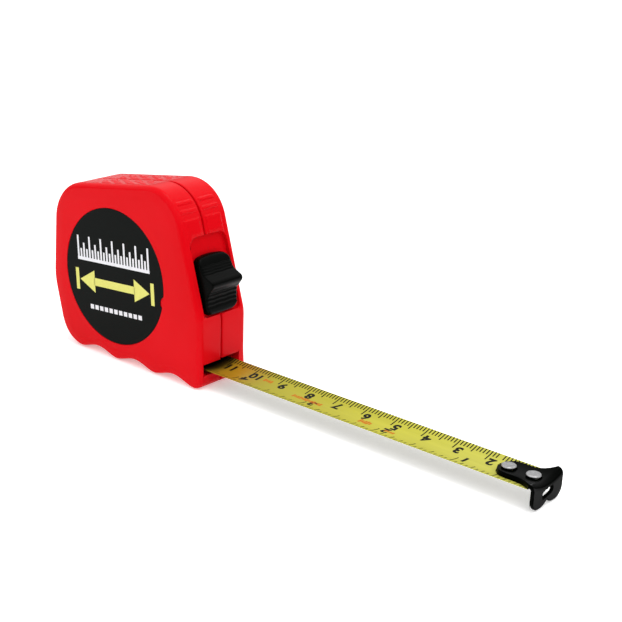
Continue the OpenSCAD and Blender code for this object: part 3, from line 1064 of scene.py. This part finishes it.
def flange_half(x):
    """Half width of the flange: round end, parallel sides, flare to the fold."""
    round_end = HOOK_LOW.x + FLANGE_HALF
    flare = ZERO_X - FLARE_LENGTH
    if x < round_end:
        return math.sqrt(max(FLANGE_HALF ** 2 - (round_end - x) ** 2, LEAST_ROUND ** 2))
    if x < flare:
        return FLANGE_HALF
    t = min((x - flare) / (ZERO_X - FOLD_R - flare), 1)
    return FLANGE_HALF + (LIP_HALF - FLANGE_HALF) * t ** 1.9


def flange_top(y):
    """Height of the flange's upper face, cupped like the blade."""
    return BLADE_AXIS_Z - math.sqrt(FLANGE_R ** 2 - y ** 2)


def lip_low(y):
    """Lower outline of the lip: two round lobes with a notch between them."""
    inner = LIP_HALF - LOBE_R - abs(y)
    outer = abs(y) - (LIP_HALF - LOBE_OUTER_R)
    if outer > 0:
        return HOOK_LOW.z + fillet_drop(LOBE_OUTER_R - outer, LOBE_OUTER_R)
    return HOOK_LOW.z + fillet_drop(LOBE_R - inner, LOBE_R)


def hook_skin():
    """One face of the hook as an open sheet: flange, fold and lip, row by row from the blade outward."""
    columns = 61
    etas = [math.sin(math.pi / 2 * (2 * c / (columns - 1) - 1)) for c in range(columns)]
    rows = []
    first, last = HOOK_LOW.x, ZERO_X - FOLD_R
    xs = [first + FLANGE_HALF * (1 - math.cos(math.pi / 2 * k / 12)) for k in range(12)]
    xs += [first + FLANGE_HALF + (last - first - FLANGE_HALF) * k / 30 for k in range(31)]
    for x in xs:
        half = flange_half(x)
        rows.append([(x, half * e, flange_top(half * e)) for e in etas])
    for k in range(1, 9):
        a = math.pi / 2 * k / 8
        x, drop = last + FOLD_R * math.sin(a), FOLD_R * (1 - math.cos(a))
        rows.append([(x, LIP_HALF * e, flange_top(LIP_HALF * e) - drop) for e in etas])
    for k in range(1, 19):
        t = k / 18
        row = []
        for e in etas:
            y = LIP_HALF * e
            high = flange_top(y) - FOLD_R
            row.append((ZERO_X, y, high + (lip_low(y) - high) * t))
        rows.append(row)
    points = [p for row in rows for p in row]
    return mesh_object("end_hook", points, grid_faces(len(rows), columns))


def hook():
    """The hook: its skin thickened, less in the lip, with the nail slot and the rivets' slots cut out."""
    piece = hook_skin()
    flange = piece.vertex_groups.new(name="flange")
    for v in piece.data.vertices:
        flange.add([v.index], 1 if v.co.x < ZERO_X - FOLD_R else LIP_T / FLANGE_T, "REPLACE")
    thick = piece.modifiers.new("thick", "SOLIDIFY")
    thick.thickness = FLANGE_T - SKIN_SPARE
    thick.offset = 1
    thick.vertex_group = "flange"
    bake_modifiers(piece)
    piece.vertex_groups.clear()
    outward(piece)
    run, rise = math.cos(NAIL_SLOT_LEAN), math.sin(NAIL_SLOT_LEAN)
    slot = [
        (y * run - z * rise, NAIL_SLOT_Z + y * rise + z * run)
        for y, z in stadium(NAIL_SLOT_HALF, NAIL_SLOT_R)
    ]
    cutter = loft("cut", [[(x, y, z) for y, z in slot] for x in (ZERO_X - 3, ZERO_X + 2)])
    combine(piece, cutter, "DIFFERENCE")
    for x in RIVETS:
        slot = stadium(PLAY_HALF, STEM_SLOT_R, x + PLAY_HALF)
        cutter = loft("cut", [[(px, py, z) for px, py in slot] for z in (0, 9)])
        combine(piece, cutter, "DIFFERENCE")
    soften(piece, 0.26, segments=3, angle=50)
    smooth(piece, 40)
    settle(piece, "hook", ["hook"], [HOOK_BLACK])


def rivets():
    """Two rivets: a closed head under the blade, a stem and a flat head above the hook."""
    top = RIVET_HIGH.z
    low = RIVET_LOW.z
    centre, stem = 0.01, 1.1
    tail = [(centre, low), (1.4, low), (1.62, low + 0.08), (1.7, low + 0.2), (1.7, low + 0.38),
            (stem, low + 0.39)]
    head = [(stem, top - 0.6), (1.7, top - 0.56), (1.92, top - 0.48), (RIVET_R, top - 0.36),
            (1.97, top - 0.2), (1.86, top - 0.08), (1.7, top - 0.02), (1.5, top), (0.8, top - 0.03),
            (centre, top - 0.04)]
    pieces = []
    for x in RIVETS:
        piece = lathe("hook_rivet", tail + head)
        piece.data.transform(Matrix.Translation((x, 0, 0)))
        pieces.append(piece)
    join(pieces[0], pieces[1:])
    pieces[0].name = "rivet_pair"
    smooth(pieces[0], 50)
    settle(pieces[0], "blade", ["hook_rivets"], [RIVET_STEEL])


# ---------------------------------------------------------------- carried CAD nodes

def carry(node, material, bevel=0.0):
    """A CAD node that stays, with its material and, where it shows, broken edges."""
    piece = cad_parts[node]
    piece.data.materials.clear()
    piece.data.materials.append(material)
    if bevel:
        edge = piece.modifiers.new("edges", "BEVEL")
        edge.width = bevel * MM
        edge.segments = 2
        edge.limit_method = "ANGLE"
        edge.angle_limit = math.radians(40)


def carried_nodes():
    """The CAD nodes that are shown as they are."""
    carry("spindle", STEEL)
    carry("side_liners", LINER_WHITE)
    carry("wear_plate", STEEL)
    carry("case_screws", SCREW_STEEL, 0.12)
    carry("belt_clip", CLIP_STEEL, 0.2)
    carry("clip_screw", SCREW_STEEL, 0.15)
    carry("lock_tongue", INNER_BLACK)
    carry("brake_pad", PAD_RUBBER)
    carry("drum", REEL_WHITE)
    carry("drum_cover", REEL_WHITE)
    carry("mainspring", SPRING_STEEL)
    # The coil lies behind the mouth, so the blade's paint gives it the near-black painted shade of the
    # ramp's first stop
    carry("blade_coil", BLADE_YELLOW)


# ---------------------------------------------------------------- camera, floor and lights

CAMERA_PLACE = (289.6, -276.42, 156.49)
CAMERA_AZIMUTH = math.radians(38.654)
CAMERA_HEIGHT = math.radians(19.516)
CAMERA_ROLL = math.radians(2.585)
LENS = 79.4
SENSOR = 36
LIGHT_TARGET = Vector((0.03, 0, 0.03))
FLOOR_HALF = 3.0
FLOOR_GREY = 0.86
FLOOR_GLOW = 0.36
# The soft box over the set: heights between which its light grows, and its least and full strength
HORIZON = (0.1, 0.5)
HORIZON_LIGHT = 0.2
SKY_LIGHT = 1.35


def camera():
    """Camera turned about Z, tipped down and rolled, in that order."""
    az, el, roll = CAMERA_AZIMUTH, CAMERA_HEIGHT, CAMERA_ROLL
    level = Vector((math.cos(az), math.sin(az), 0))
    rise = Vector((-math.sin(az) * math.sin(el), math.cos(az) * math.sin(el), math.cos(el)))
    back = Vector((math.sin(az) * math.cos(el), -math.cos(az) * math.cos(el), math.sin(el)))
    right = math.cos(roll) * level + math.sin(roll) * rise
    up = math.cos(roll) * rise - math.sin(roll) * level
    data = bpy.data.cameras.new("camera")
    data.lens = LENS
    data.sensor_width = SENSOR
    data.clip_start = 0.01
    data.clip_end = 20
    seen = bpy.data.objects.new("camera", data)
    place = Matrix((right, up, back)).transposed().to_4x4()
    place.translation = Vector(CAMERA_PLACE) * MM
    seen.matrix_world = place
    bpy.context.scene.collection.objects.link(seen)
    bpy.context.scene.camera = seen


def area_light(name, place, size, power):
    """A soft white light aimed at the case."""
    data = bpy.data.lights.new(name, "AREA")
    data.shape = "RECTANGLE"
    data.size, data.size_y = size
    data.energy = power
    lamp = bpy.data.objects.new(name, data)
    lamp.location = place
    aim = LIGHT_TARGET - Vector(place)
    lamp.rotation_euler = aim.to_track_quat("-Z", "Y").to_euler()
    bpy.context.scene.collection.objects.link(lamp)


def floor():
    """A pale floor that glows a little, so that it fades into the white background."""
    corners = [(-FLOOR_HALF, -FLOOR_HALF, 0), (FLOOR_HALF, -FLOOR_HALF, 0),
               (FLOOR_HALF, FLOOR_HALF, 0), (-FLOOR_HALF, FLOOR_HALF, 0)]
    ground = mesh_object("floor", corners, [(0, 1, 2, 3)])
    made, _, shader = new_material("floor_white", 0.9, specular=0.1)
    shader.inputs["Base Color"].default_value = (FLOOR_GREY, FLOOR_GREY, FLOOR_GREY, 1)
    shader.inputs["Emission Color"].default_value = (1, 1, 1, 1)
    shader.inputs["Emission Strength"].default_value = FLOOR_GLOW
    ground.data.materials.append(made)


def sky_light():
    """White light that grows with height; the camera sees an even white."""
    world = bpy.data.worlds.new("studio")
    bpy.context.scene.world = world
    world.use_nodes = True
    sky = world.node_tree
    background = sky.nodes["Background"]
    background.inputs["Color"].default_value = (1, 1, 1, 1)
    place = sky.nodes.new("ShaderNodeTexCoord")
    split = sky.nodes.new("ShaderNodeSeparateXYZ")
    climb = sky.nodes.new("ShaderNodeMapRange")
    climb.inputs["From Min"].default_value = HORIZON[0]
    climb.inputs["From Max"].default_value = HORIZON[1]
    climb.inputs["To Min"].default_value = HORIZON_LIGHT
    climb.inputs["To Max"].default_value = SKY_LIGHT
    sky.links.new(place.outputs["Generated"], split.inputs["Vector"])
    sky.links.new(split.outputs["Z"], climb.inputs["Value"])
    sky.links.new(climb.outputs["Result"], background.inputs["Strength"])
    shown = sky.nodes.new("ShaderNodeBackground")
    shown.inputs["Color"].default_value = (1, 1, 1, 1)
    shown.inputs["Strength"].default_value = 1.0
    mix = sky.nodes.new("ShaderNodeMixShader")
    rays = sky.nodes.new("ShaderNodeLightPath")
    sky.links.new(rays.outputs["Is Camera Ray"], mix.inputs["Fac"])
    sky.links.new(background.outputs["Background"], mix.inputs[1])
    sky.links.new(shown.outputs["Background"], mix.inputs[2])
    sky.links.new(mix.outputs["Shader"], sky.nodes["World Output"].inputs["Surface"])


def studio():
    floor()
    sky_light()
    area_light("top", (0.1, 0.1, 1.5), (0.8, 0.7), 7.0)
    area_light("front", (0.55, -0.22, 0.8), (0.16, 0.16), 0.15)
    scene = bpy.context.scene
    scene.view_settings.view_transform = "Standard"
    scene.view_settings.look = "None"


camera()
studio()
shells()
label()
button()
blade()
hook()
rivets()
carried_nodes()
